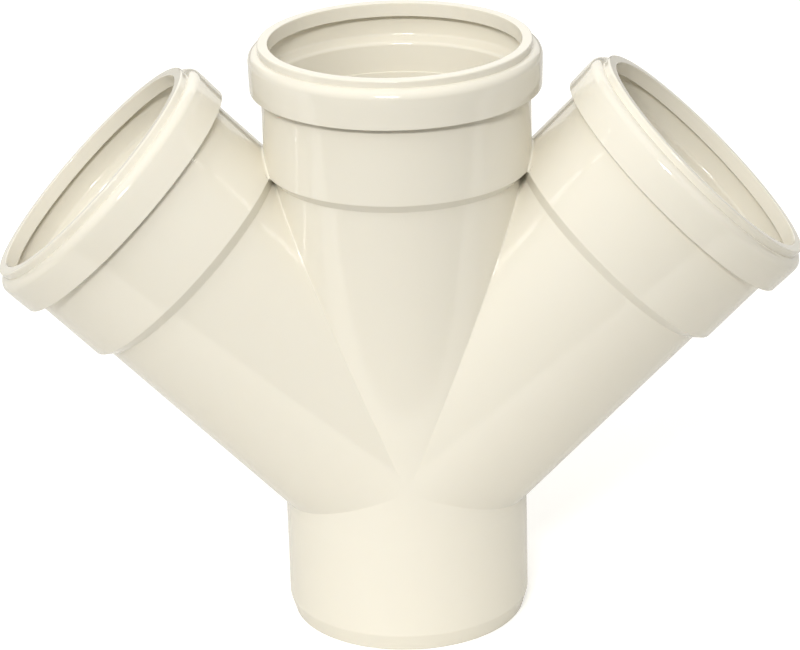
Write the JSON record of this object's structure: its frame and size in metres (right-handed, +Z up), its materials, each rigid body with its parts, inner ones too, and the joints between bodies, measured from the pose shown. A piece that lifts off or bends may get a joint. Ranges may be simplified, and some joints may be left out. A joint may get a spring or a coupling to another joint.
{
  "type": "double wye fitting",
  "caption": "Moulded plastic drain double wye: a straight run with two opposed 45 degree branches, push-fit sockets with collar and lip, and a plain bevelled spigot.",
  "frame": {"origin": "centre of the spigot's end, on the surface that the fitting stands on", "axes": "+Z up the straight run from the spigot to its socket; +X and -X towards the right and left branches, which lean 45 degrees from +Z in the XZ plane; -Y towards the viewer of the picture"},
  "size_m": [0.3568, 0.1288, 0.2708],
  "materials": {
    "body": "gloss"
  },
  "bodies": {
    "root": {"double_wye_body": "body"}
  },
  "joints": []
}
